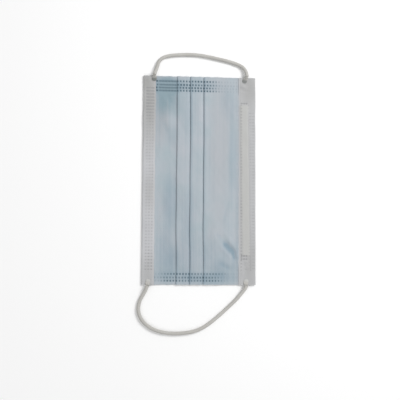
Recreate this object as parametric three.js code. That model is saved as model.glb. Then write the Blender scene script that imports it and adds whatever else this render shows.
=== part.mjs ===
// Surgical face mask, lying folded flat with its blue outer face up.
// Millimetres. X runs from ear to ear and Y from the chin edge to the nose edge. The origin is
// at the middle of the underside. Seen by the wearer, the +X end is the left one.

import * as THREE from "three";

// The cloth: three plies pressed together
const maskLength = 175;
const maskWidth = 95;
const clothThickness = 1.0;
const clothGap = 0.3;           // air between two layers that lie on each other
const clothRise = 2.2;          // how far the cloth swells off its flat form at most

// Three pleats, whose folds face the chin
const pleatCount = 3;
const firstFoldFromChin = 28.6;
const pleatPitch = 11.3;
const pleatFall = 3.7;          // room in which the cloth drops from one pleat to below the next

// The lining turned over at the two long edges
const chinHemWidth = 10.4;
const noseHemWidth = 13.8;
const hemStep = 3.5;            // length over which the cloth drops beside a hem

// The wire in the nose hem
const wireLength = 124;
const wireWidth = 4.0;
const wireThickness = 0.8;
const wireFromNose = 8.0;
const pocketFlank = 1.8;        // width of the slope on each side of the pocket

// The side welds, which press the pleats flat
const sideWeldWidth = 13;

// The ear loops and their flattened ends
const cordDiameter = 3.0;
const loopEndLength = 6.6;
const loopEndWidth = 3.8;
const loopEndThickness = 1.0;

// Soft swells and dents of the cloth. Places and reaches are shares of the mask's length and
// width, heights are shares of the cloth's rise, and turn is in degrees.
const swells = [
  { along: 0.02, across: -0.06, reach: 0.46, breadth: 0.34, turn: 0, height: 0.62 },
  { along: -0.22, across: -0.05, reach: 0.2, breadth: 0.3, turn: 8, height: 0.3 },
  { along: 0.24, across: -0.02, reach: 0.18, breadth: 0.28, turn: -10, height: 0.26 },
  { along: -0.1, across: 0.21, reach: 0.3, breadth: 0.15, turn: 3, height: 0.5 },
  { along: 0.33, across: 0.2, reach: 0.14, breadth: 0.14, turn: 0, height: 0.44 },
  { along: -0.31, across: -0.29, reach: 0.16, breadth: 0.1, turn: 0, height: 0.34 },
  { along: 0.12, across: -0.29, reach: 0.24, breadth: 0.1, turn: 0, height: 0.42 },
  { along: 0.293, across: 0.235, reach: 0.07, breadth: 0.045, turn: 34, height: -0.4 },
];

// The four welds that hold the loops. Their places are shares of the mask's length and width.
const loopWelds = [
  { name: "loop_end_right_chin", end: -1, across: -0.405, turn: -4 },
  { name: "loop_end_right_nose", end: -1, across: 0.4, turn: -18 },
  { name: "loop_end_left_chin", end: 1, across: -0.441, turn: -12 },
  { name: "loop_end_left_nose", end: 1, across: 0.417, turn: -14 },
];

// The way of each loop's centre line, from its chin weld to its nose weld
const rightLoopRoute = [
  [-88.3, -38.5, 3.6], [-92.0, -37.1, 2.6], [-96.2, -35.9, 1.8], [-100.1, -34.4, 1.5],
  [-103.1, -31.4, 1.5], [-104.8, -26.9, 1.5], [-105.8, -20.4, 1.5], [-106.4, -11.9, 1.5],
  [-106.3, -2.5, 1.5], [-105.1, 6.9, 1.5], [-103.4, 15.4, 1.5], [-101.6, 24.0, 1.5],
  [-99.5, 31.0, 1.5], [-97.5, 35.4, 1.7], [-94.8, 38.1, 2.3], [-91.7, 39.5, 3.0],
  [-88.3, 40.0, 3.6],
];
const leftLoopRoute = [
  [88.3, -42.4, 3.6], [90.7, -43.4, 3.2], [93.8, -44.8, 2.4], [97.3, -46.8, 1.7],
  [101.0, -48.6, 1.5], [105.8, -49.6, 1.5], [110.8, -49.2, 1.5], [115.7, -47.1, 1.5],
  [120.2, -43.0, 1.5], [124.0, -37.1, 1.5], [126.3, -29.7, 1.5], [127.3, -21.6, 1.5],
  [127.1, -13.3, 1.5], [125.9, -5.0, 1.5], [123.0, 2.9, 1.5], [118.2, 10.3, 1.5],
  [112.2, 17.6, 1.5], [105.8, 24.7, 1.5], [99.7, 31.1, 1.8], [94.4, 35.6, 2.5],
  [90.8, 38.4, 3.2], [88.3, 39.6, 3.6],
];

// Heights of the middle of the three layers that can lie on each other
const layerStep = clothThickness + clothGap;
const lowLayer = clothThickness / 2;
const midLayer = lowLayer + layerStep;
const topLayer = midLayer + layerStep;
const clothTop = topLayer + clothThickness / 2;

// Places across the mask
const chinEdge = -maskWidth / 2;
const noseEdge = maskWidth / 2;
const chinHemInner = chinEdge + chinHemWidth;
const noseHemInner = noseEdge - noseHemWidth;
const hemRadius = (topLayer - lowLayer) / 2;
const wireMiddle = noseEdge - wireFromNose;
const foldReach = (layerStep + clothThickness) / 2;
const pleatLap = pleatPitch - pleatFall;

const outerCloth = new THREE.MeshStandardMaterial({ color: 0x9fb9cc, roughness: 0.85, metalness: 0 });
const liningCloth = new THREE.MeshStandardMaterial({ color: 0xdcdcdf, roughness: 0.9, metalness: 0 });
const wirePlastic = new THREE.MeshStandardMaterial({ color: 0xd8d8cc, roughness: 0.5, metalness: 0 });
const elasticYarn = new THREE.MeshStandardMaterial({ color: 0xd9d3c8, roughness: 0.9, metalness: 0 });

// 0 below start, 1 above end, with a soft turn at both
function ramp(start, end, value) {
  return THREE.MathUtils.smoothstep(value, start, end);
}

// Height of the cloth's soft form over its flat form
function swellAt(x, y) {
  let height = 0;
  for (const swell of swells) {
    const turn = THREE.MathUtils.degToRad(swell.turn);
    const dx = x - swell.along * maskLength;
    const dy = y - swell.across * maskWidth;
    const u = (dx * Math.cos(turn) + dy * Math.sin(turn)) / (swell.reach * maskLength);
    const v = (dy * Math.cos(turn) - dx * Math.sin(turn)) / (swell.breadth * maskWidth);
    const share = Math.min(1, Math.hypot(u, v));
    height += (swell.height * clothRise * (1 + Math.cos(Math.PI * share))) / 2;
  }
  const fromEnd = ramp(0, sideWeldWidth, maskLength / 2 - Math.abs(x));
  const fromChinHem = ramp(0, hemStep, y - chinHemInner);
  const fromNoseHem = ramp(0, hemStep, noseHemInner - y);
  return height * fromEnd * fromChinHem * fromNoseHem;
}

// Height of the pocket's top over the rest of the nose hem
function pocketAt(x, y) {
  const rise = wireThickness + clothGap;
  const clearX = wireLength / 2 + clothGap;
  const clearY = wireWidth / 2 + clothGap;
  const along = 1 - ramp(clearX, clearX + 2 * pocketFlank, Math.abs(x));
  const across = 1 - ramp(clearY, clearY + pocketFlank, Math.abs(y - wireMiddle));
  return rise * along * across;
}

// A half turn of the cloth round (y, z), which starts below it for the first sign and bulges
// to the nose side for a positive second one
function halfTurn(points, y, z, radius, upward, toNose, parts) {
  for (let i = 0; i <= parts; i++) {
    const angle = (Math.PI * i) / parts;
    const up = -Math.cos(angle) * radius * upward;
    points.push(new THREE.Vector2(y + toNose * Math.sin(angle) * radius, z + up));
  }
}

// A soft step of the cloth from one layer to another
function step(points, y0, z0, y1, z1) {
  for (const [run, drop] of [[0, 0], [0.25, 0.12], [0.75, 0.88], [1, 1]]) {
    points.push(new THREE.Vector2(y0 + (y1 - y0) * run, z0 + (z1 - z0) * drop));
  }
}

// Even points on a flat stretch, without its two ends
function flat(points, y0, y1, z, spacing) {
  const count = Math.max(1, Math.round(Math.abs(y1 - y0) / spacing));
  for (let i = 1; i < count; i++) {
    points.push(new THREE.Vector2(y0 + ((y1 - y0) * i) / count, z));
  }
}

// The outline of a sheet of even thickness round its middle line
function sheetShape(points, thickness) {
  const sides = [[], []];
  points.forEach((point, i) => {
    const before = points[Math.max(0, i - 1)];
    const after = points[Math.min(points.length - 1, i + 1)];
    const into = (i > 0 ? point.clone().sub(before) : after.clone().sub(point)).normalize();
    const out = (i < points.length - 1 ? after.clone().sub(point) : into.clone()).normalize();
    const middle = into.clone().add(out).normalize();
    const reach = thickness / 2 / middle.dot(into);
    const normal = new THREE.Vector2(-middle.y, middle.x).multiplyScalar(reach);
    sides[0].push(point.clone().add(normal));
    sides[1].unshift(point.clone().sub(normal));
  });
  return new THREE.Shape([...sides[0], ...sides[1]]);
}

// A section in Y and Z, drawn out along X, then lifted by a height that depends on X and Y
function drawnOut(shape, length, steps, lift) {
  const geometry = new THREE.ExtrudeGeometry(shape, { depth: length, steps, bevelEnabled: false });
  const place = geometry.attributes.position;
  for (let i = 0; i < place.count; i++) {
    const y = place.getX(i);
    const z = place.getY(i);
    const x = place.getZ(i) - length / 2;
    place.setXYZ(i, x, y, z + lift(x, y, z));
  }
  geometry.computeVertexNormals();
  return geometry;
}

function pleatedPanel() {
  const spacing = 3.6;
  const inHem = hemRadius + clothGap / 2;
  const points = [new THREE.Vector2(chinEdge + inHem, midLayer)];
  step(points, chinHemInner, midLayer, chinHemInner + hemStep, lowLayer);
  let previous = chinHemInner + hemStep;
  for (let i = 0; i < pleatCount; i++) {
    const fold = chinEdge + firstFoldFromChin + i * pleatPitch;
    const root = fold + pleatLap;
    flat(points, previous, root, lowLayer, spacing);
    halfTurn(points, root, (lowLayer + midLayer) / 2, layerStep / 2, 1, 1, 4);
    flat(points, root, fold, midLayer, spacing);
    halfTurn(points, fold, (midLayer + topLayer) / 2, layerStep / 2, 1, -1, 4);
    const dropStart = root + 0.65 * foldReach;
    flat(points, fold, dropStart, topLayer, spacing);
    const last = i === pleatCount - 1;
    const dropEnd = last ? dropStart + hemStep : fold + pleatPitch - 0.8 * foldReach;
    step(points, dropStart, topLayer, dropEnd, last ? midLayer : lowLayer);
    previous = dropEnd;
  }
  flat(points, previous, noseEdge - inHem, midLayer, spacing);
  points.push(new THREE.Vector2(noseEdge - inHem, midLayer));
  return drawnOut(sheetShape(points, clothThickness), maskLength, 18, swellAt);
}

// A hem's section: a flange under the panel, the turn at the mask's edge and a flange over it
function hemShape(edge, inner, spacing) {
  const toNose = Math.sign(edge);
  const turn = edge - toNose * (hemRadius + clothThickness / 2);
  const points = [new THREE.Vector2(inner, lowLayer)];
  flat(points, inner, turn, lowLayer, spacing);
  halfTurn(points, turn, (lowLayer + topLayer) / 2, hemRadius, 1, toNose, 6);
  flat(points, turn, inner, topLayer, spacing);
  points.push(new THREE.Vector2(inner, topLayer));
  return sheetShape(points, clothThickness);
}

function chinHem() {
  return drawnOut(hemShape(chinEdge, chinHemInner, 4), maskLength, 8, () => 0);
}

// Only the flange over the wire is lifted
function noseHem() {
  const lift = (x, y, z) => (z > topLayer - clothThickness ? pocketAt(x, y) : 0);
  return drawnOut(hemShape(noseEdge, noseHemInner, 1.4), maskLength, 28, lift);
}

function noseWire() {
  const wire = new THREE.BoxGeometry(wireLength, wireWidth, wireThickness);
  const height = midLayer + clothThickness / 2 + clothGap + wireThickness / 2;
  return wire.translate(0, wireMiddle, height);
}

// A loop's end, pressed flat by its weld
function loopEnd() {
  const corner = loopEndWidth * 0.3;
  const x = loopEndLength / 2;
  const y = loopEndWidth / 2;
  const shape = new THREE.Shape();
  shape.moveTo(-x + corner, -y);
  shape.lineTo(x, -y * 0.8);
  shape.lineTo(x, y * 0.8);
  shape.lineTo(-x + corner, y);
  shape.absarc(-x + corner, y - corner, corner, Math.PI / 2, Math.PI, false);
  shape.absarc(-x + corner, -y + corner, corner, Math.PI, 1.5 * Math.PI, false);
  return new THREE.ExtrudeGeometry(shape, {
    depth: loopEndThickness, bevelEnabled: false, curveSegments: 3,
  });
}

function cord(route) {
  const radius = cordDiameter / 2;
  const sides = 8;
  const section = new THREE.Shape();
  for (let i = 0; i < sides; i++) {
    const angle = (2 * Math.PI * (i + 0.5)) / sides;
    const corner = [radius * Math.cos(angle), radius * Math.sin(angle)];
    if (i === 0) section.moveTo(...corner);
    else section.lineTo(...corner);
  }
  section.closePath();
  const path = new THREE.CatmullRomCurve3(route.map((point) => new THREE.Vector3(...point)));
  const steps = Math.round(path.getLength() / (1.4 * cordDiameter));
  return new THREE.ExtrudeGeometry(section, { steps, extrudePath: path, bevelEnabled: false });
}

function named(name, geometry, material) {
  const mesh = new THREE.Mesh(geometry, material);
  mesh.name = name;
  return mesh;
}

const mask = new THREE.Group();
mask.add(named("pleated_panel", pleatedPanel(), outerCloth));
mask.add(named("chin_hem", chinHem(), liningCloth));
mask.add(named("nose_hem", noseHem(), liningCloth));
mask.add(named("nose_wire", noseWire(), wirePlastic));

for (const weld of loopWelds) {
  const end = named(weld.name, loopEnd(), elasticYarn);
  const middle = maskLength / 2 - loopEndLength / 2 - clothGap;
  end.position.set(weld.end * middle, weld.across * maskWidth, clothTop + clothGap);
  end.rotation.z = THREE.MathUtils.degToRad(weld.turn) + (weld.end < 0 ? Math.PI : 0);
  mask.add(end);
}
mask.add(named("ear_loop_right", cord(rightLoopRoute), elasticYarn));
mask.add(named("ear_loop_left", cord(leftLoopRoute), elasticYarn));

export default mask;
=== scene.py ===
# Surgical face mask, lying folded flat on a pale table with its blue face up.
# Lengths in the dictionaries are millimetres. X runs from ear to ear, Y from chin to nose.
import math

import bpy
import numpy as np
from mathutils import Matrix, Vector


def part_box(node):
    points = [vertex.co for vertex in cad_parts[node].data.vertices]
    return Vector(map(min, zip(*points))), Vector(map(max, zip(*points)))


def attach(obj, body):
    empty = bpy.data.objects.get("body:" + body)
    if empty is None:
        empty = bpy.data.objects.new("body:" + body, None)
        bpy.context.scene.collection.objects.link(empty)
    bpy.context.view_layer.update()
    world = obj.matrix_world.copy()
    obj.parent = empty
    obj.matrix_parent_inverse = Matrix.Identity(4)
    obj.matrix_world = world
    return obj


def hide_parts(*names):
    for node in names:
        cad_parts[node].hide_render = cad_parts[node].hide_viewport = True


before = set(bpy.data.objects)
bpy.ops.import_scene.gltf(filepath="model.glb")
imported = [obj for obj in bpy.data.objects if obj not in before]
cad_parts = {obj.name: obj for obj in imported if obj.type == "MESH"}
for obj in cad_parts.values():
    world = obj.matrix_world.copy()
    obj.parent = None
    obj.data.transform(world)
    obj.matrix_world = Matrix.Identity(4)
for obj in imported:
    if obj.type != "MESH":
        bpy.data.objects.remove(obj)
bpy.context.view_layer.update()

mm = 0.001

# The places that the solids give, in millimetres
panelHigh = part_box("pleated_panel")[1] / mm
chinLow, chinHigh = (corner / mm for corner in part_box("chin_hem"))
noseLow, noseHigh = (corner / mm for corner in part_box("nose_hem"))
wireLow, wireHigh = (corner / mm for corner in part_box("nose_wire"))
endX = panelHigh.x
maskLength = 2 * endX
maskWidth = noseHigh.y - chinLow.y
chinEdge, chinInner = chinLow.y, chinHigh.y
noseEdge, noseInner = noseHigh.y, noseLow.y
wireMiddle = (wireLow.y + wireHigh.y) / 2

# Camera: nearly straight above, a little towards the left ear and the chin
camera = {
    "eye": (65.3, -49.0, 598.4),
    "aim": (17.0, 0.8, 0.0),
    "roll": -0.3,        # degrees
    "lens": 64.7,
    "sensor": 36,
    "clip": (0.01, 20),  # metres
}


def makeCamera():
    data = bpy.data.cameras.new("camera")
    data.lens = camera["lens"]
    data.sensor_width = camera["sensor"]
    data.clip_start, data.clip_end = camera["clip"]
    eye = Vector(camera["eye"]) * mm
    forward = (Vector(camera["aim"]) * mm - eye).normalized()
    down = Vector((1, 0, 0))
    down = (down - forward * down.dot(forward)).normalized()
    down.rotate(Matrix.Rotation(math.radians(camera["roll"]), 3, forward))
    right = down.cross(forward)
    turn = Matrix((right, -down, -forward)).transposed()
    obj = bpy.data.objects.new("camera", data)
    bpy.context.scene.collection.objects.link(obj)
    obj.matrix_world = Matrix.Translation(eye) @ turn.to_4x4()
    bpy.context.scene.camera = obj


makeCamera()
print("camera set")


# Small tools
sharpFrom = 60       # degrees between faces
nearest = 0.02       # points closer than this are one
endless = 1e6        # a wavelength too long to show


# 0 below start, 1 above end, with a soft turn at both
def ramp(start, end, value):
    t = np.clip((value - start) / (end - start), 0, 1)
    return t * t * (3 - 2 * t)


# Even points along one smooth line through the given points, and its length
def smoothWay(points, spacing, parts=24):
    p = np.array(points, float)
    p = np.vstack([2 * p[0] - p[1], p, 2 * p[-1] - p[-2]])
    t = np.linspace(0, 1, parts, endpoint=False)[:, None]
    fine = []
    for a, b, c, d in zip(p, p[1:], p[2:], p[3:]):
        fine.append(0.5 * (2 * b + (c - a) * t + (2 * a - 5 * b + 4 * c - d) * t ** 2
                           + (3 * b - a - 3 * c + d) * t ** 3))
    fine = np.vstack(fine + [p[-2:-1]])
    steps = np.linalg.norm(np.diff(fine, axis=0), axis=1)
    run = np.concatenate([[0], np.cumsum(steps)])
    even = np.linspace(0, run[-1], max(3, round(run[-1] / spacing) + 1))
    return np.stack([np.interp(even, run, fine[:, k]) for k in range(3)], axis=1), run[-1]


# A smooth uneven field from a few waves, about -1 to 1
def waves(x, y, longX, longY, seed, count=9):
    rng = np.random.RandomState(seed)
    total = 0
    for _ in range(count):
        kx = rng.uniform(0.5, 1.5) / longX * rng.choice([-1, 1])
        ky = rng.uniform(0.5, 1.5) / longY
        total = total + np.sin(2 * math.pi * (kx * x + ky * y + rng.rand()))
    return total / math.sqrt(count / 2) / 2


# A mesh from points in millimetres and faces, with one number for each point as an attribute
def meshObject(name, points, faces, marks=None):
    mesh = bpy.data.meshes.new(name)
    mesh.from_pydata((np.asarray(points) * mm).tolist(), [], faces)
    for title, values in (marks or {}).items():
        layer = mesh.attributes.new(title, "FLOAT", "POINT")
        layer.data.foreach_set("value", np.asarray(values, np.float32).ravel())
    mesh.shade_smooth()
    mesh.set_sharp_from_angle(angle=math.radians(sharpFrom))
    obj = bpy.data.objects.new(name, mesh)
    bpy.context.scene.collection.objects.link(obj)
    return obj


# Quads between the rows of a grid of points
def gridFaces(rows, columns, first=0, flip=False):
    a = np.arange(rows - 1)[:, None] * columns + np.arange(columns - 1)[None, :] + first
    quads = np.stack([a, a + 1, a + columns + 1, a + columns], axis=-1).reshape(-1, 4)
    return (quads[:, ::-1] if flip else quads).tolist()


# Quads round a closed tube of rings, and a face at each end
def tubeFaces(rings, sides, flip=False):
    faces = []
    for i in range(rings - 1):
        for j in range(sides):
            k = (j + 1) % sides
            a, b = i * sides, (i + 1) * sides
            faces.append([a + j, a + k, b + k, b + j] if flip else [a + j, b + j, b + k, a + k])
    first = list(range(sides))
    last = [(rings - 1) * sides + j for j in first]
    return faces + ([first[::-1], last] if flip else [first, last[::-1]])


# The section of folded cloth: points in Y and Z along its middle line
def halfTurn(points, y, z, radius, toNose, parts=8):
    for angle in np.linspace(0, math.pi, parts + 1):
        points.append((y + toNose * math.sin(angle) * radius, z - math.cos(angle) * radius))


def stretch(points, y0, z0, y1, z1, spacing):
    count = max(2, round(abs(y1 - y0) / spacing))
    for t in np.linspace(0, 1, count + 1):
        soft = t * t * (3 - 2 * t)
        points.append((y0 + (y1 - y0) * t, z0 + (z1 - z0) * soft))


# The section without double points, and its normals
def tidySection(points):
    kept = [points[0]]
    for point in points[1:]:
        if math.dist(point, kept[-1]) > nearest:
            kept.append(point)
    line = np.array(kept)
    into = np.diff(line, axis=0)
    into /= np.linalg.norm(into, axis=1)[:, None]
    into = np.vstack([into[:1], into, into[-1:]])
    middle = into[:-1] + into[1:]
    middle /= np.linalg.norm(middle, axis=1)[:, None]
    return line, np.stack([-middle[:, 1], middle[:, 0]], axis=1)


# A closed sheet of cloth: the section drawn out along X between two offsets from its line.
# lift gives the new X, Y and Z of each place and the marks there, such as how deep a weld presses.
# The unfolded width is given back too.
def sheetObject(name, columns, section, inner, outer, lift):
    line, normal = section
    rows, count = len(line), len(columns)
    points, marks = [], {}
    for offset in (outer, inner):
        yz = line + normal * offset
        x = np.repeat(columns[None, :], rows, axis=0)
        y = np.repeat(yz[:, :1], count, axis=1)
        z = np.repeat(yz[:, 1:], count, axis=1)
        x, y, z, found = lift(x, y, z)
        points.append(np.stack([x, y, z], axis=-1).reshape(-1, 3))
        for title, values in found.items():
            marks.setdefault(title, []).append(np.ravel(values))
    half = rows * count
    faces = gridFaces(rows, count) + gridFaces(rows, count, half, flip=True)
    for j in range(rows - 1):
        for i, turned in ((0, False), (count - 1, True)):
            a = j * count + i
            quad = [a, a + count, a + count + half, a + half]
            faces.append(quad[::-1] if turned else quad)
    for i in range(count - 1):
        for j, turned in ((0, False), (rows - 1, True)):
            a = j * count + i
            quad = [a, a + 1, a + 1 + half, a + half]
            faces.append(quad[::-1] if turned else quad)
    marks = {title: np.concatenate(values) for title, values in marks.items()}
    obj = meshObject(name, np.vstack(points), faces, marks)
    width = np.linalg.norm(np.diff(line, axis=0), axis=1).sum()
    return obj, width


# Cloth: its plies, its soft form and the marks of its welds
cloth = {
    "ply": 0.3,
    "plyGap": 0.02,      # from the middle line to a ply
    "rise": 1.75,        # height of a full swell
    "lowest": -0.35,     # how far a place may sink
    "endPress": 0.3,     # how much the side welds flatten the pleats
    "pressOver": (11, 17),
    "pressLevel": 0.45,  # height that the pressing leaves where it is
    "ripple": 0.16,
    "rippleLong": (46, 17),
    "rippleShort": (14, 8),
    "shortShare": 0.35,
    "wander": 0.28,      # unevenness of the fold lines
    "wanderLong": 60,
    "wanderOver": (0, 12),
    "endWander": 0.12,   # unevenness of the end edges
    "endLong": 9,
    "endOver": (0, 3),
    # the form grows from nothing to full between these distances from the edges
    "freeEnd": (3, 15),
    "freeChin": (0, 5),
    "freeNose": (0.4, 5.5),
    "creaseEnd": (4, 11),
    # along, across, reach and breadth as shares of the mask, turn in degrees, height
    "swells": [
        (0.02, -0.06, 0.46, 0.34, 0, 0.62),
        (-0.22, -0.05, 0.2, 0.3, 8, 0.3),
        (0.24, -0.02, 0.18, 0.28, -10, 0.26),
        (-0.1, 0.21, 0.3, 0.15, 3, 0.5),
        (0.33, 0.2, 0.14, 0.14, 0, 0.44),
        (-0.31, -0.29, 0.16, 0.1, 0, 0.34),
        (0.12, -0.29, 0.24, 0.1, 0, 0.42),
        (0.293, 0.235, 0.07, 0.045, 34, -0.4),
    ],
    # creases: start x, y, end x, y, half width, depth
    "creases": [
        (46, 15.8, 54.5, 21.4, 1.5, 0.22),
        (53.4, 21.2, 61.2, 28.6, 2, 1.15),
        (60, 28.2, 66, 29.6, 1.4, 0.6),
        (69.5, 17.5, 74, 25, 2, 0.3),
        (-48, -30, -40, -27, 1.8, 0.25),
        (-71, -28, -66, -24, 1.6, 0.25),
        (20, 24, 34, 21.5, 1.6, 0.18),
    ],
    # a crease starts and stops over these shares of its length
    "creaseStart": (-0.35, 0.25),
    "creaseStop": (0.75, 1.35),
    # the ridges beside it: height, distance and breadth, as shares of its depth and half width
    "ridge": (0.45, 2.2, 1.1),
    # darker, bluer places: x, y, half length, half width, strength
    "patches": [
        (-69, -27, 17, 11, 1.1),
        (-38, -24, 12, 6, 0.35),
        (20, -24.5, 26, 6.5, 0.7),
        (62, -28, 22, 9, 0.6),
        (58.5, 23.5, 9, 5, 0.35),
        (66, 10, 20, 12, 0.35),
        (74, 20, 9, 9, 0.5),
        (-66, 24, 16, 8, 0.35),
        (-20, 27.5, 40, 3.5, 0.5),
        (0, 32, 76, 1.8, 0.25),
        (-79.5, -28, 8, 14, 1.4),
        (-79.5, -2, 6.5, 22, 0.6),
        (81, -20, 6, 24, 0.55),
        (82.5, 12, 6, 22, 0.75),
        (60, -9.5, 30, 9, 0.45),
        (24, -9, 18, 9, 0.3),
        (-56, -9.5, 24, 9, 0.3),
        (68, -21, 12, 7, 0.4),
        (66, 31, 16, 5, 0.45),
        (-58, -33.5, 26, 4.5, 0.4),
    ],
    # greyer places: x, y, half length, half width, strength
    "greyPatches": [
        (-58, -33, 34, 8, 0.9),
        (-34, 18, 66, 10, 0.75),
        (-66, -24, 10, 6, 0.4),
        (40, 14, 24, 8, 0.4),
    ],
    # places where the darker tone is greener
    "tealPatches": [
        (-64, -27, 30, 12, 1),
    ],
    "patchSoft": (0.25, 1.35),
    # painted shade in the valleys of the creases
    "paintedCreaseShade": 1.25,
    # painted shade along the fold lines, one strength for each fold counted from the chin, and how far
    # it spreads
    "paintedFoldShade": (0.2, 0.42, 0.42),
    "foldBreadth": (0.3, 1.5),
    "streakTone": 0.13,      # faint lines that run with the pleats
    "streaks": (190, 2.8),
    "streakCount": 14,
    "mostTone": 1.25,
    "fade": 0.5,             # how much paler and greyer the ply is beside the nose hem
    "fadeWidth": 6.5,
}

# Rows and columns of small square welds
sideWelds = {
    "rightRows": (-83.3, -80.2, -77.7, -75.2),
    "leftRows": (78.7, 81.7, 84.3),
    "rightFade": (3, 21),    # Y from which the marks grow faint
    "leftFade": (11, 26),
    "faint": 0.3,
    "leftStrength": 0.74,
    "bandTo": -20.0,         # below this Y the right rows run together
    "bandMark": 0.42,
    "bandDepth": 0.52,
    "bandBreadth": (0.45, 1.35),
    "bandSoft": (5, 4),      # how softly the bands start beside fold and hem
    "margins": (1.0, 1.2),   # from the chin hem and from the nose hem
    "marginVary": 0.35,
    "rowScatter": 2.1,       # how the margins change from row to row
    "chinFaint": 0.45,       # strength of the left rows beside the chin hem
    "chinFaintOver": (2, 12),
    "pitch": 2.5,
    "half": 0.72,
    "halfAlong": 0.6,
    "edge": 0.36,
    "depth": 0.26,
}

hemWelds = {
    "pitch": 2.62,
    "depth": 0.18,
    "edge": 0.36,
    "halfAlong": 0.42,
    "chinFrom": -77.0,
    "chinTo": 74.5,
    "chinColumns": (-44.2, -41.8, -39.4),
    "chinHalf": 0.74,
    "chinWiden": 0.34,       # added to the half width towards the right end
    "chinPlain": 0.5,        # strength along the middle
    "chinRight": 0.42,       # how much stronger towards the right end
    "chinRightOver": (-66, -40),
    "chinLeft": 0.28,
    "chinLeftOver": (50, 70),
    "noseFrom": -63.5,
    "noseTo": 74.5,
    "wireColumn": 35.4,
    "wireHalf": 0.62,
    "wireStrength": 0.7,
    "farOffset": 3.7,        # from the wire's middle line to the column beyond it
    "farHalf": 0.5,
    "farStrength": 0.6,
    "edgeColumns": (42.7, 45.7),
    "edgeHalf": 1.15,
    "edgeFrom": -56.95,
    "edgeStrength": 0.5,
    "blueColumn": 32.2,
    "blueHalf": 1.1,
    "blueFaint": 0.24,
    "crossRows": (-65.4, 63.6, 66.3),
    "crossColumns": (35.7, 37.7, 39.7),
    "crossSize": (0.75, 0.85),
    "crossSoft": (0.6, 1.25),
    "most": 1.1,
    "stepsPerMark": 6,
    "endGap": 0.1,           # no column stands nearer to an end
}

# How unevenly the marks are pressed, and how that changes from mark to mark and line to line
markVary = 0.12
markScatter = (12.9898, 4.1)


# Height of the soft swells
def swellAt(x, y):
    height = 0
    for along, across, reach, breadth, turn, share in cloth["swells"]:
        c, s = math.cos(math.radians(turn)), math.sin(math.radians(turn))
        dx, dy = x - along * maskLength, y - across * maskWidth
        u = (dx * c + dy * s) / (reach * maskLength)
        v = (dy * c - dx * s) / (breadth * maskWidth)
        height = height + share * (1 + np.cos(math.pi * np.minimum(1, np.hypot(u, v)))) / 2
    return height * cloth["rise"]


# Depth of the creases, and the painted shade in their valleys
def creaseAt(x, y):
    high, apart, broad = cloth["ridge"]
    depth, shade = 0, 0
    for x0, y0, x1, y1, half, deep in cloth["creases"]:
        length = math.hypot(x1 - x0, y1 - y0)
        ux, uy = (x1 - x0) / length, (y1 - y0) / length
        along = ((x - x0) * ux + (y - y0) * uy) / length
        aside = (y - y0) * ux - (x - x0) * uy
        ends = ramp(*cloth["creaseStart"], along) * (1 - ramp(*cloth["creaseStop"], along))
        valley = np.exp(-(aside / half) ** 2)
        ridge = high * np.exp(-((np.abs(aside) - apart * half) / (broad * half)) ** 2)
        depth = depth + deep * ends * (valley - ridge)
        shade = np.maximum(shade, deep * ends * valley)
    return depth, shade


# Strength of the patches of one table
def patchAt(x, y, table="patches"):
    tone = 0
    for x0, y0, halfX, halfY, strength in cloth[table]:
        distance = np.hypot((x - x0) / halfX, (y - y0) / halfY)
        tone = tone + strength * (1 - ramp(*cloth["patchSoft"], distance))
    return tone


# One line of small marks: place is where it lies across, and start and end are along it
def markLine(w, across, along, place, start, end, half, seed):
    pitch, edge, halfAlong = w["pitch"], w["edge"], w["halfAlong"]
    number = np.round((along - start) / pitch)
    inside = (number >= 0) & (number <= round((end - start) / pitch))
    uneven = np.sin(number * markScatter[0] + seed * markScatter[1])
    strength = 1 - markVary + markVary * uneven
    a = 1 - ramp(half - edge / 2, half + edge, np.abs(across - place))
    b = 1 - ramp(halfAlong - edge / 2, halfAlong + edge, np.abs(along - start - number * pitch))
    return np.where(inside, a * b * strength, 0)


# Strength of the side welds
def sideWeldAt(x, y):
    w = sideWelds
    total = np.zeros_like(x)
    end = noseInner - w["margins"][1]
    for k, row in enumerate(w["rightRows"] + w["leftRows"]):
        start = chinInner + w["margins"][0] + w["marginVary"] * math.sin(k * w["rowScatter"])
        marks = markLine(w, x, y, row, start, end, w["half"], k)
        total = np.maximum(total, marks)
    fade = np.where(x < 0, ramp(*w["rightFade"], y), ramp(*w["leftFade"], y))
    nearChin = w["chinFaint"] + (1 - w["chinFaint"]) * ramp(*w["chinFaintOver"], y - chinInner)
    strength = np.where(x < 0, 1 - w["bandMark"] * bandShare(y), w["leftStrength"] * nearChin)
    return total * strength * (1 - (1 - w["faint"]) * fade)


# Where the right rows run together, 0 to 1
def bandShare(y):
    fromBand = y - sideWelds["bandTo"]
    softFold, softHem = sideWelds["bandSoft"]
    return (1 - ramp(0, softFold, fromBand)) * ramp(0, softHem, y - chinInner)


# The dark bands between the marks there
def weldBandAt(x, y):
    total = np.zeros_like(x)
    for row in sideWelds["rightRows"]:
        total = np.maximum(total, 1 - ramp(*sideWelds["bandBreadth"], np.abs(x - row)))
    return sideWelds["bandDepth"] * total * bandShare(y)


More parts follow.
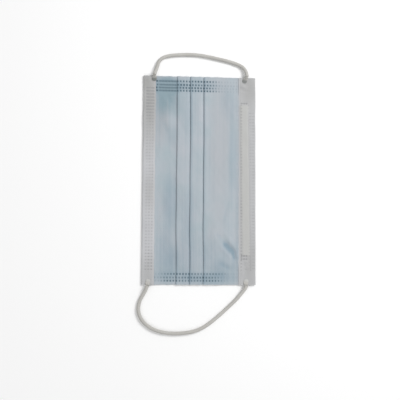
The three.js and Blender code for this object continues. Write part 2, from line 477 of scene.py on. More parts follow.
# Strength of the welds along both hems, and of the crossing rows at the ends of the wire
def hemWeldAt(x, y):
    w = hemWelds
    total = np.zeros_like(x)
    right = 1 - ramp(*w["chinRightOver"], x)
    left = ramp(*w["chinLeftOver"], x)
    chinHalf = w["chinHalf"] + w["chinWiden"] * right
    chinStrength = w["chinPlain"] + w["chinRight"] * right + w["chinLeft"] * left
    farColumn = wireLineAt(x) + w["farOffset"]
    columns = [(place, chinHalf, "chinFrom", "chinTo", chinStrength) for place in w["chinColumns"]]
    columns.append((w["wireColumn"], w["wireHalf"], "noseFrom", "noseTo", w["wireStrength"]))
    columns.append((farColumn, w["farHalf"], "noseFrom", "noseTo", w["farStrength"]))
    for place in w["edgeColumns"]:
        columns.append((place, w["edgeHalf"], "edgeFrom", "noseTo", w["edgeStrength"]))
    for k, (place, half, start, end, strength) in enumerate(columns):
        marks = markLine(w, y, x, place, w[start], w[end], half, k)
        total = np.maximum(total, strength * marks)
    wide, high = w["crossSize"]
    for row in w["crossRows"]:
        for place in w["crossColumns"]:
            spot = np.hypot((x - row) / wide, (y - place) / high)
            total = np.maximum(total, 1 - ramp(*w["crossSoft"], spot))
    return np.minimum(total, w["most"])


# Columns along X that keep step with the marks of the hems
def hemColumns():
    step = hemWelds["pitch"] / hemWelds["stepsPerMark"]
    first = hemWelds["noseFrom"] - step * math.floor((endX + hemWelds["noseFrom"]) / step)
    gap = hemWelds["endGap"]
    inner = np.arange(first, endX - gap, step)
    return np.concatenate([[-endX], inner[inner > gap - endX], [endX]])


# Columns along X, finer where the side welds are
def columnsAlong(fine, coarse, fineFrom):
    middle = np.linspace(-fineFrom, fineFrom, round(2 * fineFrom / coarse) + 1)
    side = np.linspace(fineFrom, endX, round((endX - fineFrom) / fine) + 1)[1:]
    return np.concatenate([-side[::-1], middle, side])


# Pleated panel: a blue outer ply and a white lining ply on one folded middle line
panel = {
    "foldFromChin": 29.2,
    "foldPitch": 11.3,
    "foldCount": 3,
    "lap": 7.6,
    "gentle": (9.0, 2.9, 8.5),   # slopes: below the first fold, between folds, above the last
    "pastRoot": 0.3,             # how far a strip runs on over the fold behind it
    "underFrom": 1.0,            # the hidden part of a layer starts here behind its fold
    "hemLayer": 1.12,
    "lowLayer": 0.8,
    "layerStep": 0.66,
    "spacing": 0.5,
    "underSpacing": 0.7,
    "hiddenSpacing": 2.0,
    "hemSpacing": 2.5,
    "inHem": 1.5,
    "noseLift": 0.1,
    "columns": (0.4, 1.6),       # spacing along X at the ends and in the middle
    "endsFrom": 73,
}


# The Y of a fold, counted from the chin
def foldAt(i):
    return chinEdge + panel["foldFromChin"] + i * panel["foldPitch"]


def panelSection():
    p = panel
    low, hemLayer = p["lowLayer"], p["hemLayer"]
    mid = low + p["layerStep"]
    top = mid + p["layerStep"]
    radius = p["layerStep"] / 2
    slopeFirst, slopeNext, slopeLast = p["gentle"]
    points = []
    stretch(points, chinEdge + p["inHem"], hemLayer, chinInner, hemLayer, p["hemSpacing"])
    previous = (chinInner, hemLayer)
    for i in range(p["foldCount"]):
        fold = foldAt(i)
        root = fold + p["lap"]
        gentle = previous[0] + (slopeNext if i else slopeFirst)
        under = fold + p["underFrom"]
        end = root + p["pastRoot"]
        stretch(points, *previous, gentle, low, p["spacing"])
        stretch(points, gentle, low, under, low, p["spacing"])
        stretch(points, under, low, root, low, p["underSpacing"])
        halfTurn(points, root, (low + mid) / 2, radius, 1)
        stretch(points, root, mid, fold, mid, p["hiddenSpacing"])
        halfTurn(points, fold, (mid + top) / 2, radius, -1)
        stretch(points, fold, top, end, top, p["spacing"])
        previous = (end, top)
    foot = previous[0] + slopeLast
    stretch(points, *previous, foot, hemLayer + p["noseLift"], p["spacing"])
    stretch(points, foot, hemLayer + p["noseLift"], noseInner, hemLayer, p["spacing"])
    stretch(points, noseInner, hemLayer, noseEdge - p["inHem"], hemLayer, p["hemSpacing"])
    return tidySection(points)


# The panel's soft form, and the marks that its material reads
def liftPanel(x, y, z):
    c, h = cloth, hemWelds
    fromEnd = endX - np.abs(x)
    fromChin, fromNose = y - chinInner, noseInner - y
    free = ramp(*c["freeEnd"], fromEnd) * ramp(*c["freeChin"], fromChin) * ramp(*c["freeNose"], fromNose)
    inside = ramp(*c["wanderOver"], fromChin) * ramp(*c["wanderOver"], fromNose)
    wander = c["wander"] * waves(x, y * 0, c["wanderLong"], endless, seed=4) * inside
    weld = sideWeldAt(x, y)
    faint = markLine(h, y, x, h["blueColumn"], h["noseFrom"], h["noseTo"], h["blueHalf"], seed=3)
    level = c["pressLevel"]
    press = 1 - c["endPress"] * (1 - ramp(*c["pressOver"], fromEnd))
    crease, creaseShade = creaseAt(x, y)
    ripple = waves(x, y, *c["rippleLong"], seed=11)
    ripple = ripple + c["shortShare"] * waves(x, y, *c["rippleShort"], seed=23)
    form = (swellAt(x, y) + c["ripple"] * ripple) * free - crease * ramp(*c["creaseEnd"], fromEnd)
    height = level + (z - level) * press + np.maximum(form, c["lowest"]) - sideWelds["depth"] * weld
    atEnd = np.sign(x) * (1 - ramp(*c["endOver"], fromEnd))
    ends = c["endWander"] * waves(x * 0, y, endless, c["endLong"], seed=31) * atEnd
    streaks = waves(x, y, *c["streaks"], seed=71, count=c["streakCount"])
    # shade holds the painted shade in the creases, the faint streaks of the cloth and, below, the
    # painted shade along the folds
    shade = c["paintedCreaseShade"] * creaseShade + c["streakTone"] * streaks
    # painted shade along each fold line, where the fold's step shades the strip beside it
    for i, foldShade in enumerate(c["paintedFoldShade"]):
        shade = shade + foldShade * (1 - ramp(*c["foldBreadth"], np.abs(y - foldAt(i))))
    weld = np.maximum(np.maximum(weld, h["blueFaint"] * faint), weldBandAt(x, y))
    # tone holds the darker, bluer patches together with the painted shade of creases and folds
    tone = np.clip(patchAt(x, y) + shade, 0, c["mostTone"])
    fade = c["fade"] * (1 - ramp(0, c["fadeWidth"], fromNose)) + patchAt(x, y, "greyPatches")
    return x + ends, y + wander, height, {
        "weld": weld,
        "tone": tone,
        "fade": np.clip(fade, 0, 1),
        "teal": np.clip(patchAt(x, y, "tealPatches"), 0, 1),
    }


def makePanel():
    section = panelSection()
    columns = columnsAlong(*panel["columns"], panel["endsFrom"])
    gap, thick = cloth["plyGap"], cloth["ply"]
    outer, unfolded = sheetObject("outer_ply", columns, section, gap, gap + thick, liftPanel)
    lining, _ = sheetObject("lining_ply", columns, section, -gap - thick, -gap, liftPanel)
    for ply in (outer, lining):
        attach(ply, "root")
        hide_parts("pleated_panel")
    print("panel made, unfolded width", round(unfolded, 1))
    return outer, lining


# Hems: the lining turned over at the long edges
hem = {
    "ply": 0.36,
    "backLayer": 0.18,
    "frontLayer": 1.74,
    "spacing": 0.42,
    "backSpacing": 0.7,
    "backReach": 0.4,        # how far the back reaches past the hem's inner edge
    "turnParts": 9,
    "frontFrom": (0.6, 1.3),     # heights between which the back becomes the front
    "pocketRise": 0.5,
    "pocketFlank": 2.6,
    "pocketRoom": (0.4, 0.1),    # beyond the wire's ends and sides
    "ripple": 0.09,
    "rippleSize": (21, 12),
    "rippleEnd": (0, 6),     # where it grows, from the ends and from the inner edge
    "rippleInner": (0, 3),
    "edgeWander": 0.1,
    "edgeLong": 34,
    "edgeOver": (35, 40),
    "innerWander": 0.16,
    "innerLong": 9,
    "innerOver": (0, 2),
    "pressAbove": 0.3,       # what lies lower isn't pressed
    "noseReach": 0.45,       # how far the nose hem's front lies over the blue ply
    "seat": 1.5,             # height to which the cut edge is pressed
    "pinch": 0.86,
    "pinchWidth": 1.6,
    "edgeWidth": 0.75,       # breadth of the painted highlight along the nose hem's cut edge
    "edgeSoft": (0.2, 1),
    "greyNose": 0.36,
    # greyer places: x, y, half length, half width, strength
    "greyer": [
        (-64, -42, 56, 15, 0.86),
        (10, -41, 26, 9, 0.42),
        (-84, -46, 14, 9, 0.4),
        (80, -42, 28, 12, 0.5),
        (-78, 42, 26, 12, 0.4),
        (70, 43, 34, 9, 0.3),
    ],
    # raised or sunken places: x, y, half length, half width, height
    "bumps": [
        (-79.6, 37.4, 2.6, 4.2, 0.75),
        (-76, 38.2, 1.6, 5, -0.34),
        (-84, -43.2, 2.2, 2.6, 0.3),
        (75.4, 39, 1.1, 2.2, -0.3),
        (78.5, 36.5, 3.2, 1.2, 0.25),
        (68.6, 39.6, 1.6, 2.4, 0.32),
        (71.4, 37.6, 1.5, 2.2, -0.26),
        (73.2, 40.6, 1.8, 1.5, 0.24),
        (70, -43.5, 5, 1, -0.2),
    ],
}


def hemSection(edge, inner):
    h = hem
    toNose = math.copysign(1, edge)
    radius = (h["frontLayer"] - h["backLayer"]) / 2
    turn = edge - toNose * (radius + h["ply"] / 2)
    points = []
    start = inner - toNose * h["backReach"]
    stretch(points, start, h["backLayer"], turn, h["backLayer"], h["backSpacing"])
    halfTurn(points, turn, (h["backLayer"] + h["frontLayer"]) / 2, radius, toNose, h["turnParts"])
    cut = inner - h["noseReach"] if edge > 0 else inner
    stretch(points, turn, h["frontLayer"], cut, h["frontLayer"], h["spacing"])
    line, normal = tidySection(points)
    return line, -normal * toNose


# The wire lies a little askew: the Y of its middle line
def wireLineAt(x):
    return wireMiddle + wire["shift"] + wire["skew"] * x


# How far the nose hem's front stands up over the wire
def pocketAt(x, y):
    roomX, roomY = hem["pocketRoom"]
    flank = hem["pocketFlank"]
    along = 1 - ramp(0, flank, np.abs(x) - wireHigh.x - roomX)
    across = 1 - ramp(0, flank, np.abs(y - wireLineAt(x)) - (wireHigh.y - wireLow.y) / 2 - roomY)
    return hem["pocketRise"] * along * across


# The sum of the soft round places of one table
def placesAt(table, x, y):
    total = 0
    for x0, y0, halfX, halfY, amount in table:
        total = total + amount * (1 - ramp(0, 1, np.hypot((x - x0) / halfX, (y - y0) / halfY)))
    return total


# The hem's soft form, and the marks that its material reads
def liftHem(x, y, z):
    h = hem
    front = ramp(*h["frontFrom"], z)
    weld = hemWeldAt(x, y)
    fromEnd = endX - np.abs(x)
    fromInner = np.where(y > 0, y - noseInner + h["noseReach"], chinInner - y)
    rough = h["ripple"] * waves(x, y, *h["rippleSize"], seed=41)
    rough = rough * ramp(*h["rippleEnd"], fromEnd) * ramp(*h["rippleInner"], fromInner)
    cut = front * (1 - ramp(0, h["pinchWidth"], fromInner))
    pocket = np.where(y > 0, pocketAt(x, y), 0)
    pressed = hemWelds["depth"] * weld * (2 * front - 1) * (z > h["pressAbove"])
    height = z + front * (rough + pocket + placesAt(h["bumps"], x, y)) - pressed
    height = height - h["pinch"] * cut * (z - h["seat"])
    atEdge = ramp(*h["edgeOver"], np.abs(y))
    edge = h["edgeWander"] * waves(x, y * 0, h["edgeLong"], endless, seed=17) * atEdge
    atInner = 1 - ramp(*h["innerOver"], fromInner)
    inner = h["innerWander"] * waves(x, y * 0, h["innerLong"], endless, seed=19) * atInner
    grey = placesAt(h["greyer"], x, y) + np.where(y > 0, h["greyNose"], 0)
    # a painted highlight along the nose hem's cut edge, on its front layer
    pale = front * (1 - ramp(*h["edgeSoft"], fromInner / h["edgeWidth"])) * (y > 0)
    return x, y + edge + inner, height, {
        "weld": weld,
        "pocket": pocket / h["pocketRise"] * front,
        "grey": np.clip(grey, 0, 1),
        "cutEdgeHighlight": pale,
    }


def makeHems():
    columns = hemColumns()
    half = hem["ply"] / 2
    made = []
    for node, edge, inner in (("chin_hem", chinEdge, chinInner), ("nose_hem", noseEdge, noseInner)):
        obj, width = sheetObject(node + "_cloth", columns, hemSection(edge, inner), -half, half, liftHem)
        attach(obj, "root")
        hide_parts(node)
        made.append(obj)
    print("hems made")
    return made


# Nose wire: a flat plastic-coated strip inside the pocket
wire = {
    "low": 1.48,
    "thickness": 0.5,
    "shift": -1.0,       # from the middle of the solid's wire
    "skew": 0.0145,
    "columns": 125,
    "sides": 24,
    "squareness": (0.35, 0.6),   # smaller is squarer, across and up
    "waver": 0.05,
    "waverLong": 40,
}


def makeWire():
    w = wire
    middle = w["low"] + w["thickness"] / 2
    reach = wireHigh.x
    half = (wireHigh.y - wireLow.y) / 2
    columns = np.linspace(-reach, reach, w["columns"])
    squareY, squareZ = w["squareness"]
    points = []
    for angle in np.linspace(0, 2 * math.pi, w["sides"], endpoint=False):
        c, s = math.cos(angle), math.sin(angle)
        across = half * math.copysign(abs(c) ** squareY, c)
        up = w["thickness"] / 2 * math.copysign(abs(s) ** squareZ, s)
        points.append((across, middle + up))
    ring = np.array(points)
    rows, count = len(columns), len(ring)
    grid = np.zeros((rows, count, 3))
    grid[..., 0] = columns[:, None]
    waver = w["waver"] * waves(columns, columns * 0, w["waverLong"], endless, seed=5)
    grid[..., 1] = wireLineAt(columns)[:, None] + ring[None, :, 0]
    grid[..., 2] = waver[:, None] + ring[None, :, 1]
    obj = meshObject("nose_wire_strip", grid.reshape(-1, 3), tubeFaces(rows, count, flip=True))
    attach(obj, "root")
    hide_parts("nose_wire")
    print("wire made")
    return obj


# Ear loops: the same ways as in the solids, from the chin weld to the nose weld
loops = {
    "diameter": 3.0,
    "slim": 0.93,            # the yarn's mean width as a share of the full diameter
    "sides": 40,
    "ring": 0.36,
    "ribs": 10,
    "ribDepth": 0.05,
    "ribShift": 1.2,         # how much a rib bends the stitches
    "stitch": 1.3,
    "stitchDepth": 0.035,
    "waver": 0.03,
    "waverLong": 7,
    "pathStep": 4,
    "right": [
        (-88.3, -38.5, 3.6), (-92.0, -37.1, 2.6), (-96.2, -35.9, 1.8), (-100.1, -34.4, 1.5),
        (-103.1, -31.4, 1.5), (-104.8, -26.9, 1.5), (-105.8, -20.4, 1.5), (-106.4, -11.9, 1.5),
        (-106.3, -2.5, 1.5), (-105.1, 6.9, 1.5), (-103.4, 15.4, 1.5), (-101.6, 24.0, 1.5),
        (-99.5, 31.0, 1.5), (-97.5, 35.4, 1.7), (-94.8, 38.1, 2.3), (-91.7, 39.5, 3.0),
        (-88.3, 40.0, 3.6),
    ],
    "left": [
        (88.3, -42.4, 3.6), (90.7, -43.4, 3.2), (93.8, -44.8, 2.4), (97.3, -46.8, 1.7),
        (101.0, -48.6, 1.5), (105.8, -49.6, 1.5), (110.8, -49.2, 1.5), (115.7, -47.1, 1.5),
        (120.2, -43.0, 1.5), (124.0, -37.1, 1.5), (126.3, -29.7, 1.5), (127.3, -21.6, 1.5),
        (127.1, -13.3, 1.5), (125.9, -5.0, 1.5), (123.0, 2.9, 1.5), (118.2, 10.3, 1.5),
        (112.2, 17.6, 1.5), (105.8, 24.7, 1.5), (99.7, 31.1, 1.8), (94.4, 35.6, 2.5),
        (90.8, 38.4, 3.2), (88.3, 39.6, 3.6),
    ],
}

# The flattened ends, from the weld to the start of the loop
loopEnds = {
    "tip": 4.7,          # from the mask's end edge to the inner end of the weld
    "flatHeight": 0.55,
    "rest": 2.2,         # height of the flat part's middle
    "between": (3.2, 1.4),   # where the way's next points lie, from the mask's end edge
    "lift": 0.15,        # how much the way rises before the loop starts
    "into": 0.1,         # how far the end reaches into the loop
    "spacing": 0.2,
    "flatTo": 3.0,       # length of the flat part
    "fullBefore": 0.2,   # the tube is round this far before the loop
    "tipHeight": 0.22,   # the tip melts into the cloth
    "tipOver": 2.6,
    "shadePress": 0.25,   # how much thinner the end is under its painted shade
    "shadeFrom": 0.5,     # the painted shade where the cord leaves the cloth, from the tip
    "shadeTo": 2.1,
    "shadeEdge": 1.2,
    "shadeFade": 2.4,
    "shadePower": 1.5,
    "round": 1.7,        # length of the rounded tip
    "bluntness": 0.03,   # how much of the width is left at the very tip
    "meltFade": (0.4, 3.8),
    # turn in degrees, how dark the painted shade at the base is and how wide the flat part is
    "ends": {
        "loop_end_right_chin": (-4, 0.85, 3.8),
        "loop_end_right_nose": (-18, 0.82, 3.8),
        "loop_end_left_chin": (-12, 0.05, 3.7),
        "loop_end_left_nose": (-14, 0.05, 3.7),
    },
}


# A knitted tube along a way, with a width and a height for each ring; its weld attribute carries painted
# shade and melt makes it paler
def knitTube(name, way, widths, heights, weld=0, melt=0):
    sides = loops["sides"]
    count = len(way)
    tangent = np.gradient(way, axis=0)
    tangent /= np.linalg.norm(tangent, axis=1)[:, None]
    aside = np.cross(tangent, [0, 0, 1.0])
    aside /= np.linalg.norm(aside, axis=1)[:, None]
    above = np.cross(aside, tangent)
    steps = np.concatenate([[0], np.cumsum(np.linalg.norm(np.diff(way, axis=0), axis=1))])
    angle = np.linspace(0, 2 * math.pi, sides, endpoint=False)[None, :]
    s = steps[:, None]
    rib = np.cos(loops["ribs"] * angle)
    stitch = np.cos(2 * math.pi * s / loops["stitch"] + math.pi * (rib > 0) + loops["ribShift"] * rib)
    uneven = 1 + loops["waver"] * waves(s, angle * 0, loops["waverLong"], endless, seed=61)
    radius = uneven * (1 + loops["ribDepth"] * rib + loops["stitchDepth"] * stitch)
    wide = (widths / 2)[:, None] * radius * np.cos(angle)
    high = (heights / 2)[:, None] * radius * np.sin(angle)
    grid = way[:, None, :] + wide[..., None] * aside[:, None, :] + high[..., None] * above[:, None, :]
    marks = {"knit": 0.5 + 0.5 * stitch}
    for title, values in (("weld", weld), ("melt", melt)):
        marks[title] = np.repeat((values + np.zeros(count))[:, None], sides, axis=1)
    return meshObject(name, grid.reshape(-1, 3), tubeFaces(count, sides), marks)


def makeLoops():
    made = []
    for side in ("right", "left"):
        way, length = smoothWay(loops[side], loops["ring"])
        size = np.full(len(way), loops["diameter"] * loops["slim"])
        obj = knitTube("ear_loop_" + side + "_knit", way, size, size)
        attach(obj, "root")
        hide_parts("ear_loop_" + side)
        made.append(obj)
        print("loop", side, "length", round(length, 1))
    return made


def makeLoopEnds():
    e = loopEnds
    made = []
    for side, sign in (("right", -1), ("left", 1)):
        for edge, index in (("chin", 0), ("nose", -1)):
            name = "loop_end_" + side + "_" + edge
            low, high = (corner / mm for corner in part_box(name))
            middle = (low + high) / 2
            start = np.array(loops[side][index], float)
            nextOne = np.array(loops[side][1 if index == 0 else -2], float)
            outward = (nextOne - start) / np.linalg.norm(nextOne - start)
            turn, dark, broad = e["ends"][name]
            turn = math.radians(turn)
            along = np.array([sign * math.cos(turn), sign * math.sin(turn), 0])
            place = np.array([middle.x, middle.y, e["rest"]]) + along * (endX - abs(middle.x))
            points = [place - back * along for back in (e["tip"],) + e["between"]]
            points.append((place + start) / 2 + np.array([0, 0, e["lift"]]))
            points.append(start + e["into"] * outward)
            way, length = smoothWay(points, e["spacing"])
            run = np.linspace(0, length, len(way))
            full = loops["diameter"] * loops["slim"]
            flat = 1 - ramp(e["flatTo"], length - e["fullBefore"], run)
            fromTip = 1 - np.minimum(1, run / e["round"])
            tip = np.sqrt(np.clip(1 - fromTip ** 2, e["bluntness"], 1))
            widths = (full + (broad - full) * flat) * tip
            flatHeight = e["tipHeight"] + (e["flatHeight"] - e["tipHeight"]) * ramp(0, e["tipOver"], run)
            heights = full * (1 - flat) + flatHeight * flat
            # painted shade where the cord leaves the cloth, carried by the weld attribute; the end is
            # pressed thinner there too
            baseShade = ramp(e["shadeFrom"] - e["shadeEdge"], e["shadeFrom"], run)
            after = ramp(e["shadeTo"], e["shadeTo"] + e["shadeFade"], run)
            baseShade = dark * baseShade * (1 - after) ** e["shadePower"]
            melt = 1 - ramp(*e["meltFade"], run)
            heights = heights - e["shadePress"] * baseShade
            obj = knitTube(name + "_knit", way, widths, heights, baseShade, melt)
            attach(obj, "root")
            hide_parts(name)
            made.append(obj)
    print("loop ends made")
    return made


outerPly, liningPly = makePanel()
hemPieces = makeHems()
wirePiece = makeWire()
loopPieces = makeLoops()
endPieces = makeLoopEnds()


# Node tools
def newMaterial(name):
    material = bpy.data.materials.new(name)
    material.use_nodes = True
    tree = material.node_tree
    return material, tree, tree.nodes["Principled BSDF"]


def addNode(tree, kind, **values):
    node = tree.nodes.new(kind)
    for key, value in values.items():
        if key == "inputs":
            for socket, number in value.items():
                node.inputs[socket].default_value = number
        else:
            setattr(node, key, value)
    return node


# A number or colour is set on the socket, and anything else is linked to it
def feed(tree, socket, value):
    if isinstance(value, (int, float, tuple)):
        socket.default_value = value
    elif value is not None:
        tree.links.new(value, socket)


def mathNode(tree, operation, a, b=None, clamp=False):
    node = addNode(tree, "ShaderNodeMath", operation=operation, use_clamp=clamp)
    feed(tree, node.inputs[0], a)
    feed(tree, node.inputs[1], b)
    return node.outputs[0]


def mixColour(tree, factor, a, b):
    node = addNode(tree, "ShaderNodeMix", data_type="RGBA")
    for slot, value in ((0, factor), (6, a), (7, b)):
        feed(tree, node.inputs[slot], value)
    return node.outputs[2]


def objectPlace(tree):
    return addNode(tree, "ShaderNodeTexCoord").outputs["Object"]


def noiseAt(tree, place, scale=1.0, detail=3.0, distortion=0.0):
    node = addNode(tree, "ShaderNodeTexNoise",
                   inputs={"Scale": scale, "Detail": detail, "Distortion": distortion})
    tree.links.new(place, node.inputs["Vector"])
    return node.outputs["Fac"]


# A soft step: first up to start, and last from end on
def softStep(tree, value, start, end, first=0.0, last=1.0):
    node = addNode(tree, "ShaderNodeMapRange", interpolation_type="SMOOTHSTEP",
                   inputs={"From Min": start, "From Max": end, "To Min": first, "To Max": last})
    tree.links.new(value, node.inputs["Value"])
    return node.outputs[0]


def bumpFrom(tree, shader, height, strength, distance):
    node = addNode(tree, "ShaderNodeBump", inputs={"Strength": strength, "Distance": distance})
    tree.links.new(height, node.inputs["Height"])
    tree.links.new(node.outputs[0], shader.inputs["Normal"])


# Spunbond cloth, as both plies and the hems have it
spunbondLook = {
    "fibreSize": 0.11,
    "fibreTurns": (25, 78, 131, 166),    # degrees
    "fibreSlim": 0.06,           # breadth as a share of the length
    "fibreDetail": 2.0,
    "fibreBend": 0.4,
    "fibreRange": (0.5, 4.0),    # level in the noise, and how steeply the fibres rise above it
    "fibreLight": 0.10,
    "bondPitch": 1.7,
    "bondRows": 1.25,            # rows for each pitch
    "bondSquash": 2.2,
    "bondEdge": (0.17, 0.3),
    "bondDepth": 1.3,
    "cloudSize": 9.0,            # unless a material gives its own
    "cloudDetail": (5.0, 0.6),
    "cloudRange": (0.32, 2.6),
    "weldEdge": (0.05, 0.85),
    "bump": (0.35, 0.00012),     # strength, and depth in metres
    "sheen": 0.15,
    "specular": 0.3,
}


# Fibres that lie in all directions, small bond points and cloudy thickness
def makeSpunbondGroup():
    look = spunbondLook
    sizes = (look["fibreSize"], look["bondPitch"], look["cloudSize"], 0.0)
    group = bpy.data.node_groups.new("spunbondCloth", "ShaderNodeTree")
    for title, value in zip(("Fibre Size", "Bond Pitch", "Cloud Size", "Seed"), sizes):
        socket = group.interface.new_socket(title, in_out="INPUT", socket_type="NodeSocketFloat")
        socket.default_value = value
    for title in ("Fibres", "Bonds", "Clouds", "Height"):
        group.interface.new_socket(title, in_out="OUTPUT", socket_type="NodeSocketFloat")
    entry = addNode(group, "NodeGroupInput")
    result = addNode(group, "NodeGroupOutput")
    place = objectPlace(group)
    link = group.links.new

    def scaled(size):
        node = addNode(group, "ShaderNodeVectorMath", operation="SCALE")
        link(place, node.inputs[0])
        link(mathNode(group, "DIVIDE", 1 / mm, size), node.inputs["Scale"])
        return node.outputs[0]

    def above(value, level, gain):
        return mathNode(group, "MULTIPLY", mathNode(group, "SUBTRACT", value, level), gain, clamp=True)

    fibreSpace = scaled(entry.outputs["Fibre Size"])
    layers = []
    for turn in look["fibreTurns"]:
        spin = addNode(group, "ShaderNodeMapping")
        spin.inputs["Rotation"].default_value = (0, 0, math.radians(turn))
        spin.inputs["Scale"].default_value = (look["fibreSlim"], 1, 1)
        link(fibreSpace, spin.inputs["Vector"])
        layers.append(noiseAt(group, spin.outputs[0], 1.0, look["fibreDetail"], look["fibreBend"]))
    fibres = layers[0]
    for other in layers[1:]:
        fibres = mathNode(group, "MAXIMUM", fibres, other)
    fibres = above(fibres, *look["fibreRange"])

    bondSpace = scaled(entry.outputs["Bond Pitch"])
    split = addNode(group, "ShaderNodeSeparateXYZ")
    link(bondSpace, split.inputs[0])
    row = mathNode(group, "MULTIPLY", split.outputs["X"], look["bondRows"])
    odd = mathNode(group, "FLOORED_MODULO", mathNode(group, "FLOOR", row), 2.0)
    column = mathNode(group, "ADD", split.outputs["Y"], mathNode(group, "MULTIPLY", odd, 0.5))
    dx = mathNode(group, "SUBTRACT", mathNode(group, "FRACT", row), 0.5)
    dy = mathNode(group, "SUBTRACT", mathNode(group, "FRACT", column), 0.5)
    squareX = mathNode(group, "POWER", dx, 2.0)
    squareY = mathNode(group, "MULTIPLY", mathNode(group, "POWER", dy, 2.0), look["bondSquash"])
    far = mathNode(group, "SQRT", mathNode(group, "ADD", squareX, squareY))
    bonds = softStep(group, far, *look["bondEdge"], first=1.0, last=0.0)

    detail, rough = look["cloudDetail"]
    cloudNoise = addNode(group, "ShaderNodeTexNoise", noise_dimensions="4D",
                         inputs={"Scale": 1.0, "Detail": detail, "Roughness": rough})
    link(scaled(entry.outputs["Cloud Size"]), cloudNoise.inputs["Vector"])
    link(entry.outputs["Seed"], cloudNoise.inputs["W"])
    clouds = above(cloudNoise.outputs["Fac"], *look["cloudRange"])

    height = mathNode(group, "SUBTRACT", fibres, mathNode(group, "MULTIPLY", bonds, look["bondDepth"]))
    for title, value in (("Fibres", fibres), ("Bonds", bonds), ("Clouds", clouds), ("Height", height)):
        link(value, result.inputs[title])
    return group


spunbond = makeSpunbondGroup()


def useGroup(tree, group, **values):
    node = tree.nodes.new("ShaderNodeGroup")
    node.node_tree = group
    for title, value in values.items():
        node.inputs[title.replace("_", " ")].default_value = value
    return node


def attribute(tree, title):
    node = addNode(tree, "ShaderNodeAttribute", attribute_name=title)
    return node.outputs["Fac"]


blueCloth = {
    "pale": (0.452, 0.480, 0.520, 1),
    "deep": (0.378, 0.448, 0.484, 1),
    # colour of the darker patches and of the painted shade in creases and along folds; the bond points
    # take it too
    "patch": (0.244, 0.326, 0.388, 1),
    "teal": (0.242, 0.328, 0.371, 1),
    "fade": (0.412, 0.428, 0.455, 1),
    "weld": (0.085, 0.137, 0.172, 1),
    "fibre": (0.620, 0.670, 0.700, 1),
    "cloudSize": 16.0,
    "seed": 2.3,
    "toneShare": 0.8,
    "bondShade": 0.14,
    "weldShade": 1.0,
    "roughness": (0.86, 0.35),   # and how much smoother a weld is
}

whiteCloth = {
    "pale": (0.550, 0.556, 0.574, 1),
    "deep": (0.494, 0.501, 0.521, 1),
    "grey": (0.352, 0.353, 0.345, 1),
    "pocket": (0.470, 0.473, 0.462, 1),
    # colour of the painted highlight along the nose hem's cut edge
    "cutEdgeHighlight": (0.570, 0.578, 0.600, 1),
    "weld": (0.300, 0.300, 0.310, 1),
    "fibre": (0.650, 0.650, 0.660, 1),
    "cloudSize": 11.0,
    "seed": 7.1,
    "bondShade": 0.12,
    "weldShade": 0.9,
    "roughness": (0.88, 0.3),
}


# One ply: its clouds of thickness, its tints, its fibres and bond points, and its welds
def makePly(name, m, addTints, bondColour):
    look = spunbondLook
    material, tree, shader = newMaterial(name)
    weave = useGroup(tree, spunbond, Fibre_Size=look["fibreSize"], Bond_Pitch=look["bondPitch"],
                     Cloud_Size=m["cloudSize"], Seed=m["seed"])
    colour = addTints(tree, mixColour(tree, weave.outputs["Clouds"], m["deep"], m["pale"]))
    light = mathNode(tree, "MULTIPLY", weave.outputs["Fibres"], look["fibreLight"])
    colour = mixColour(tree, light, colour, m["fibre"])
    bonds = mathNode(tree, "MULTIPLY", weave.outputs["Bonds"], m["bondShade"])
    colour = mixColour(tree, bonds, colour, bondColour)
    weld = attribute(tree, "weld")
    welds = mathNode(tree, "MULTIPLY", softStep(tree, weld, *look["weldEdge"]), m["weldShade"])
    colour = mixColour(tree, welds, colour, m["weld"])
    tree.links.new(colour, shader.inputs["Base Color"])
    plain, smoother = m["roughness"]
    rough = mathNode(tree, "SUBTRACT", plain, mathNode(tree, "MULTIPLY", weld, smoother))
    tree.links.new(rough, shader.inputs["Roughness"])
    bumpFrom(tree, shader, weave.outputs["Height"], *look["bump"])
    shader.inputs["Sheen Weight"].default_value = look["sheen"]
    shader.inputs["Specular IOR Level"].default_value = look["specular"]
    return material


def blueTints(tree, colour):
    m = blueCloth
    colour = mixColour(tree, attribute(tree, "fade"), colour, m["fade"])
    patch = mixColour(tree, attribute(tree, "teal"), m["patch"], m["teal"])
    # tone darkens towards the patch colour: the darker patches, and the painted shade in creases and
    # along folds
    tone = mathNode(tree, "MULTIPLY", attribute(tree, "tone"), m["toneShare"])
    return mixColour(tree, tone, colour, patch)


def whiteTints(tree, colour):
    # the last tint is the painted highlight along the nose hem's cut edge
    for title in ("grey", "pocket", "cutEdgeHighlight"):
        colour = mixColour(tree, attribute(tree, title), colour, whiteCloth[title])
    return colour


elastic = {
    "pale": (0.550, 0.542, 0.515, 1),
    "deep": (0.375, 0.362, 0.338, 1),
    # colour of the painted shade at the base of each loop end, where the cord leaves the cloth
    "weld": (0.100, 0.112, 0.108, 1),
    "melt": (0.540, 0.544, 0.535, 1),
    "shadeMix": 0.62,
    "grain": 2600.0,
    "cloud": 90.0,
    "roughness": (0.9, 0.4),     # and how much smoother the loop end is under its painted shade
    "bump": (0.4, 0.0001),
    "sheen": 0.2,
}


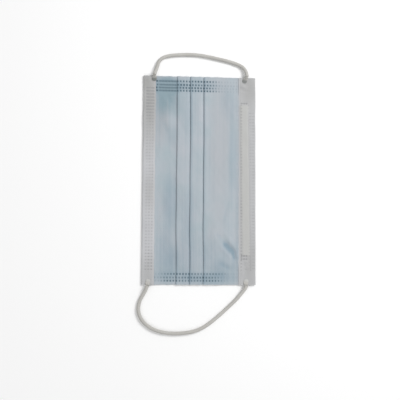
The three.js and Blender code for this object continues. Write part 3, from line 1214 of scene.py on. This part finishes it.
def makeElastic():
    m = elastic
    material, tree, shader = newMaterial("knittedElastic")
    place = objectPlace(tree)
    grain = noiseAt(tree, place, m["grain"])
    cloud = noiseAt(tree, place, m["cloud"])
    both = mathNode(tree, "ADD", attribute(tree, "knit"), cloud)
    shade = mathNode(tree, "MULTIPLY", both, m["shadeMix"], clamp=True)
    # weld paints the shade at the base of each loop end
    weld = attribute(tree, "weld")
    colour = mixColour(tree, shade, m["deep"], m["pale"])
    colour = mixColour(tree, attribute(tree, "melt"), colour, m["melt"])
    colour = mixColour(tree, weld, colour, m["weld"])
    tree.links.new(colour, shader.inputs["Base Color"])
    plain, smoother = m["roughness"]
    rough = mathNode(tree, "SUBTRACT", plain, mathNode(tree, "MULTIPLY", weld, smoother))
    tree.links.new(rough, shader.inputs["Roughness"])
    bumpFrom(tree, shader, grain, *m["bump"])
    shader.inputs["Sheen Weight"].default_value = m["sheen"]
    return material


wirePlastic = {
    "pale": (0.74, 0.74, 0.68, 1),
    "deep": (0.62, 0.62, 0.55, 1),
    "grain": 400.0,
    "roughness": 0.45,
}


def makeWirePlastic():
    m = wirePlastic
    material, tree, shader = newMaterial("wirePlastic")
    grain = noiseAt(tree, objectPlace(tree), m["grain"])
    colour = mixColour(tree, grain, m["deep"], m["pale"])
    tree.links.new(colour, shader.inputs["Base Color"])
    shader.inputs["Roughness"].default_value = m["roughness"]
    return material


def giveMaterial(objects, material):
    for obj in objects:
        obj.data.materials.clear()
        obj.data.materials.append(material)


giveMaterial([outerPly], makePly("blueSpunbond", blueCloth, blueTints, blueCloth["patch"]))
whitePly = makePly("whiteSpunbond", whiteCloth, whiteTints, whiteCloth["weld"])
giveMaterial([liningPly] + hemPieces, whitePly)
giveMaterial(loopPieces + endPieces, makeElastic())
giveMaterial([wirePiece], makeWirePlastic())
print("materials made")


# Table and light
studio = {
    "floor": (0.96, 0.96, 0.96, 1),
    "floorRoughness": 0.9,
    "half": 3.0,         # half the table's side, in metres
    "below": 0.0001,     # how far it lies under the mask
    "world": (1.0, 1.0, 1.0, 1),
    "worldStrength": 0.5,
    # place in metres, aim, side length, power
    "key": ((-0.35, 0.5, 0.7), (0, 0, 0), 0.4, 5.5),
    "fill": ((0.5, -0.4, 0.8), (0, 0, 0), 0.8, 1.9),
}


def makeStudio():
    scene = bpy.context.scene
    scene.view_settings.view_transform = "Standard"
    mesh = bpy.data.meshes.new("table")
    half = studio["half"]
    corners = [(-half, -half, 0), (half, -half, 0), (half, half, 0), (-half, half, 0)]
    mesh.from_pydata(corners, [], [(0, 1, 2, 3)])
    table = bpy.data.objects.new("table", mesh)
    scene.collection.objects.link(table)
    material, _, shader = newMaterial("paleTable")
    shader.inputs["Base Color"].default_value = studio["floor"]
    shader.inputs["Roughness"].default_value = studio["floorRoughness"]
    mesh.materials.append(material)
    table.location.z = -studio["below"]
    world = bpy.data.worlds.new("studio")
    world.use_nodes = True
    back = world.node_tree.nodes["Background"]
    back.inputs["Color"].default_value = studio["world"]
    back.inputs["Strength"].default_value = studio["worldStrength"]
    scene.world = world
    for title in ("key", "fill"):
        place, aim, side, power = studio[title]
        data = bpy.data.lights.new(title, "AREA")
        data.shape = "SQUARE"
        data.size = side
        data.energy = power
        light = bpy.data.objects.new(title, data)
        light.location = place
        light.rotation_euler = (Vector(aim) - Vector(place)).to_track_quat("-Z", "Y").to_euler()
        scene.collection.objects.link(light)


makeStudio()
print("studio made")
